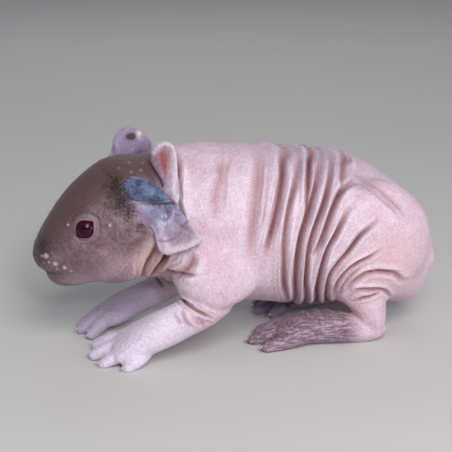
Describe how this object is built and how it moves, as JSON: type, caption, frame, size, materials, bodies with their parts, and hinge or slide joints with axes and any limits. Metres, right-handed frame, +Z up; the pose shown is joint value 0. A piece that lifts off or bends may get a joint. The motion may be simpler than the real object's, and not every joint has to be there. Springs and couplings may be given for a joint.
{
  "type": "hairless guinea pig pup",
  "caption": "Life-size still model of a newborn hairless guinea pig crouching on all fours, head low, its loose skin in deep folds over the flanks.",
  "frame": {"origin": "the centre of the underside of the model's box, on the floor under the belly", "axes": "+X from nose to rump, +Z up; the left side faces -Y"},
  "size_m": [0.1138, 0.0438, 0.0571],
  "materials": {
    "body_skin": "soft pink skin with deep folds",
    "face_skin": "grey-brown skin",
    "ear_skin": "thin lilac-grey skin",
    "foot_skin": "pink-brown skin with sparse short hair",
    "eye_gloss": "wet dark ruby"
  },
  "bodies": {
    "root": {"head": "face_skin", "neck": "body_skin", "torso": "body_skin", "ear_left": "ear_skin", "ear_right": "ear_skin", "eye_left": "eye_gloss", "eye_right": "eye_gloss", "upper_arm_left": "body_skin", "upper_arm_right": "body_skin", "forearm_left": "body_skin", "forearm_right": "body_skin", "forefoot_left": "foot_skin", "forefoot_right": "foot_skin", "thigh_left": "body_skin", "thigh_right": "body_skin", "hindfoot_left": "foot_skin", "hindfoot_right": "foot_skin"}
  },
  "joints": []
}
